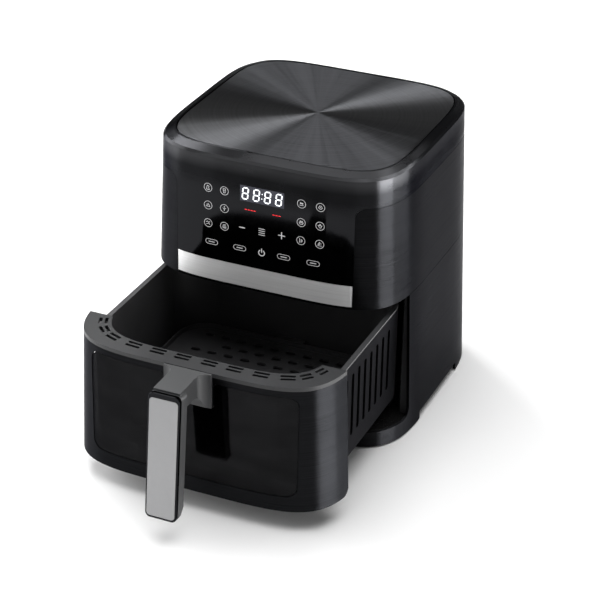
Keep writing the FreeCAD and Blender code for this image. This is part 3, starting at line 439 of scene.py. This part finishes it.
def draw_digits():
    """Four figures of seven lit segments with a colon in the middle."""
    lit = Print("display_digits", glow("lit_white", (0.88, 0.92, 1.0), 1.5, (0.5, 0.5, 0.5)),
                "lens")
    w = DIGIT_HALF_WIDTH
    h = DIGIT_HALF_HEIGHT
    segments = [((-w, h), (w, h)), ((-w, 0), (w, 0)), ((-w, -h), (w, -h)),
                ((-w, 0), (-w, h)), ((w, 0), (w, h)), ((-w, -h), (-w, 0)), ((w, -h), (w, 0))]
    for place in (-1.5, -0.5, 0.5, 1.5):
        middle = place * DIGIT_PITCH
        for start, end in segments:
            along = (Vector(end) - Vector(start)).normalized()
            side = Vector((-along.y, along.x)) * DIGIT_STROKE / 2
            tip = along * DIGIT_STROKE / 2
            a = Vector(start) + along * DIGIT_GAP
            b = Vector(end) - along * DIGIT_GAP
            outline = [a, a + tip + side, b - tip + side, b, b - tip - side, a + tip - side]
            lit.face([(middle + p.x + DIGIT_SLANT * p.y, DIGIT_CENTRE + p.y) for p in outline])
    for z in (-COLON_HALF, COLON_HALF):
        lit.disc(DIGIT_SLANT * z, DIGIT_CENTRE + z, COLON_RADIUS, 12)
    lit.finish()


RING_RADIUS = 4.15
RING_STROKE = 0.5
ICON_STROKE = 0.55
LEFT_ICONS = ((-56.0, -38.8), (74.8, 56.4, 37.8))       # columns and rows
RIGHT_ICONS = ((40.0, 58.8), (77.4, 58.3, 39.6))

# Pictograms in a unit circle: each entry is a line of points, or (x, z, radius) for a dot.
GLYPHS = [
    [[(-0.4, -0.5), (-0.2, 0.5), (0.3, 0.3), (0.1, 0.0), (0.4, -0.5), (-0.4, -0.5)]],
    [[(-0.5, -0.3), (0.5, -0.3)], [(-0.4, -0.3), (-0.2, 0.2), (0.2, 0.2), (0.4, -0.3)],
     (0.0, 0.42, 0.10)],
    [[(-0.5, 0.2), (-0.1, 0.4), (0.4, -0.4)], [(-0.4, -0.3), (0.1, -0.1)], (0.35, 0.3, 0.12)],
    [[(-0.3, 0.5), (0.3, 0.5), (0.2, -0.5), (-0.2, -0.5), (-0.3, 0.5)],
     [(-0.2, 0.0), (0.2, 0.0)]],
    [[(0.0, 0.5), (0.0, -0.5)], [(-0.35, 0.1), (0.0, -0.2), (0.35, 0.1)], (0.0, 0.45, 0.14)],
    [[(-0.45, -0.2), (0.45, -0.2)], [(-0.4, 0.1), (0.4, 0.1)], [(-0.3, 0.4), (0.3, 0.4)],
     [(-0.4, -0.45), (0.4, -0.45)]],
    [[(-0.45, -0.35), (0.45, -0.35)], (-0.18, 0.15, 0.2), (0.22, 0.1, 0.2)],
    [[(-0.5, 0.0), (0.5, 0.0), (0.3, -0.4), (-0.3, -0.4), (-0.5, 0.0)], (-0.2, 0.28, 0.16),
     (0.2, 0.28, 0.16)],
    [[(-0.3, -0.5), (-0.3, 0.5)], [(0.05, -0.4), (0.05, 0.3), (0.4, 0.0), (0.05, -0.4)]],
    [[(-0.45, -0.1), (-0.2, 0.35), (0.2, 0.35), (0.45, -0.1), (0.2, -0.4), (-0.2, -0.4),
      (-0.45, -0.1)], (0.0, 0.0, 0.12)],
    [[(-0.5, 0.1), (0.5, 0.1)], [(-0.4, 0.1), (-0.1, -0.45), (0.2, -0.45), (0.4, 0.1)],
     (0.0, 0.35, 0.18)],
    [[(0.0, 0.5), (-0.4, -0.1), (0.0, -0.1), (0.0, 0.5)], [(-0.45, -0.4), (0.45, -0.4)],
     (0.3, 0.15, 0.12)],
]


def draw_icons(print_white):
    """Ringed pictograms, twelve of them in two blocks."""
    marks = Print("key_icons", print_white, "white_plastic")
    places = [(x, z) for columns, rows in (LEFT_ICONS, RIGHT_ICONS) for x in columns for z in rows]
    for (x, z), glyph in zip(places, GLYPHS):
        marks.arc(x, z, RING_RADIUS, 0, 360, RING_STROKE, 32)
        for stroke in glyph:
            if isinstance(stroke, tuple):
                u, v, radius = (RING_RADIUS * part for part in stroke)
                marks.disc(x + u, z + v, radius, 12)
            else:
                marks.stroke([(x + u * RING_RADIUS, z + v * RING_RADIUS) for u, v in stroke],
                             ICON_STROKE)
    marks.finish()


SETTING_ROW = 40.5          # minus, list and plus
SIGN_OFFSET = 20.4          # of minus and plus from the middle
PLUS_HALF = 3.2
MINUS_HALF = 2.6
MINUS_STROKE = 1.1
KEY_ROW = 18.0              # power key and pill-shaped keys
PILL_ROW = 18.5
PILL_PLACES = (-52.4, -22.8, 22.8, 52.8)
PILL_HALF = 3.9             # from the middle to the centre of each round end
PILL_RADIUS = 2.5
PILL_STROKE = 0.5
PILL_BAR_HALF = 2.8
PILL_BAR_STROKE = 0.9
POWER_RADIUS = 3.0
POWER_BAR = (0.6, 4.2)      # foot and tip of the bar, above the ring's centre
SIGN_STROKE = 1.0
LIST_BOTTOM = -3.7          # lowest of the four lines, from the row
LIST_PITCH = 2.1
LIST_HALF = 3.0
LIST_STROKE = 0.7


def draw_keys(print_white):
    """Minus, plus, list, power sign and four pills with a plain bar inside."""
    keys = Print("key_symbols", print_white, "white_plastic")
    keys.stroke([(-SIGN_OFFSET - MINUS_HALF, SETTING_ROW),
                 (-SIGN_OFFSET + MINUS_HALF, SETTING_ROW)], MINUS_STROKE)
    keys.stroke([(SIGN_OFFSET - PLUS_HALF, SETTING_ROW), (SIGN_OFFSET + PLUS_HALF, SETTING_ROW)],
                SIGN_STROKE)
    keys.stroke([(SIGN_OFFSET, SETTING_ROW - PLUS_HALF), (SIGN_OFFSET, SETTING_ROW + PLUS_HALF)],
                SIGN_STROKE)
    for line in range(4):
        z = SETTING_ROW + LIST_BOTTOM + LIST_PITCH * line
        keys.stroke([(-LIST_HALF, z), (LIST_HALF, z)], LIST_STROKE)
    keys.arc(0, KEY_ROW, POWER_RADIUS, 120, 420, SIGN_STROKE)
    keys.stroke([(0, KEY_ROW + POWER_BAR[0]), (0, KEY_ROW + POWER_BAR[1])], SIGN_STROKE)
    for x in PILL_PLACES:
        keys.arc(x - PILL_HALF, PILL_ROW, PILL_RADIUS, 90, 270, PILL_STROKE, 14)
        keys.arc(x + PILL_HALF, PILL_ROW, PILL_RADIUS, -90, 90, PILL_STROKE, 14)
        for z in (PILL_ROW + PILL_RADIUS, PILL_ROW - PILL_RADIUS):
            keys.stroke([(x - PILL_HALF, z), (x + PILL_HALF, z)], PILL_STROKE)
        keys.stroke([(x - PILL_BAR_HALF, PILL_ROW), (x + PILL_BAR_HALF, PILL_ROW)],
                    PILL_BAR_STROKE)
    keys.finish()


LAMP_ROW = 60.2
LAMP_PLACES = (-16.5, -13.5, -10.5, -7.5, 12.0, 15.0, 18.0)
LAMP_HALF = 0.8
LAMP_STROKE = 0.8


def draw_lamps():
    lamps = Print("indicator_lamps", glow("lit_red", (0.9, 0.02, 0.03), 1.0, (0.5, 0.02, 0.02)),
                  "lens")
    for x in LAMP_PLACES:
        lamps.stroke([(x - LAMP_HALF, LAMP_ROW), (x + LAMP_HALF, LAMP_ROW)], LAMP_STROKE)
    lamps.finish()


def draw_panel():
    print_white = glow("printed_white", (0.75, 0.75, 0.76), 0.28, (0.42, 0.42, 0.43))
    draw_display_backing()
    draw_digits()
    draw_icons(print_white)
    draw_keys(print_white)
    draw_lamps()


# ---------------------------------------------------------------- stage

WORLD_STRENGTH = 0.2
FLOOR_HALF = 6.0

# name, place, target, width and height, power in watts, seen only in gloss
LIGHTS = [
    ("overhead", (0.0, 0.0, 3.0), (0.0, 0.0, 0.0), (3.0, 3.0), 105.0, False),
    ("back_left", (-1.29, 1.135, 1.74), (0.0, 0.1, 0.28), (0.45, 0.45), 15.0, False),
    ("back_middle", (0.22, 1.39, 2.06), (0.0, 0.1, 0.28), (0.45, 0.45), 4.0, False),
    ("left_soft", (-1.8, 0.0, 0.65), (0.0, 0.1, 0.15), (2.2, 1.3), 55.0, False),
    ("right_strip", (1.5, -0.10, 0.27), (0.0, -0.1, 0.15), (0.9, 0.5), 40.0, True),
    ("right_wide", (1.5, 0.20, 0.27), (0.0, -0.1, 0.15), (2.1, 0.5), 75.0, True),
]


def add_stage():
    corners = [(-FLOOR_HALF, -FLOOR_HALF, 0), (FLOOR_HALF, -FLOOR_HALF, 0),
               (FLOOR_HALF, FLOOR_HALF, 0), (-FLOOR_HALF, FLOOR_HALF, 0)]
    mesh = bpy.data.meshes.new("floor")
    mesh.from_pydata(corners, [], [(0, 1, 2, 3)])
    floor = bpy.data.objects.new("floor", mesh)
    bpy.context.scene.collection.objects.link(floor)
    look = Look("pale_floor", Roughness=0.7)
    look.colour(look.colours(look.noise(3.0), shades((0.94, 0.94, 0.94), 0.01)))
    mesh.materials.append(look.material)
    floor.location.z = CAD_BOX[0][2]
    world = bpy.data.worlds.new("studio")
    bpy.context.scene.world = world
    world.use_nodes = True
    background = world.node_tree.nodes["Background"]
    background.inputs["Color"].default_value = (1.0, 1.0, 1.0, 1.0)
    background.inputs["Strength"].default_value = WORLD_STRENGTH


def add_lights():
    """Rectangular soft lights, each turned to its target."""
    for name, place, target, size, power, gloss_only in LIGHTS:
        data = bpy.data.lights.new(name, "AREA")
        data.shape = "RECTANGLE"
        data.size, data.size_y = size
        data.energy = power
        light = bpy.data.objects.new(name, data)
        light.location = place
        light.visible_diffuse = not gloss_only
        aim = Vector(target) - Vector(place)
        light.rotation_euler = aim.to_track_quat("-Z", "Y").to_euler()
        bpy.context.scene.collection.objects.link(light)


CAMERA_PLACE = (0.67505, -1.51833, 1.02937)
CAMERA_RIGHT = Vector((0.916661, 0.399314, 0.016777))
CAMERA_UP = Vector((-0.20317, 0.429424, 0.879953))
CAMERA_BACK = Vector((0.344174, -0.810027, 0.474764))
CAMERA_LENS = 116.868


def add_camera():
    data = bpy.data.cameras.new("camera")
    data.lens = CAMERA_LENS
    data.sensor_width = 36.0
    camera = bpy.data.objects.new("camera", data)
    turned = Matrix((CAMERA_RIGHT, CAMERA_UP, CAMERA_BACK)).transposed().to_4x4()
    camera.matrix_world = Matrix.Translation(CAMERA_PLACE) @ turned
    bpy.context.scene.collection.objects.link(camera)
    bpy.context.scene.camera = camera


dress_nodes()
draw_panel()
add_stage()
add_lights()
add_camera()
bpy.context.scene.view_settings.view_transform = "Standard"
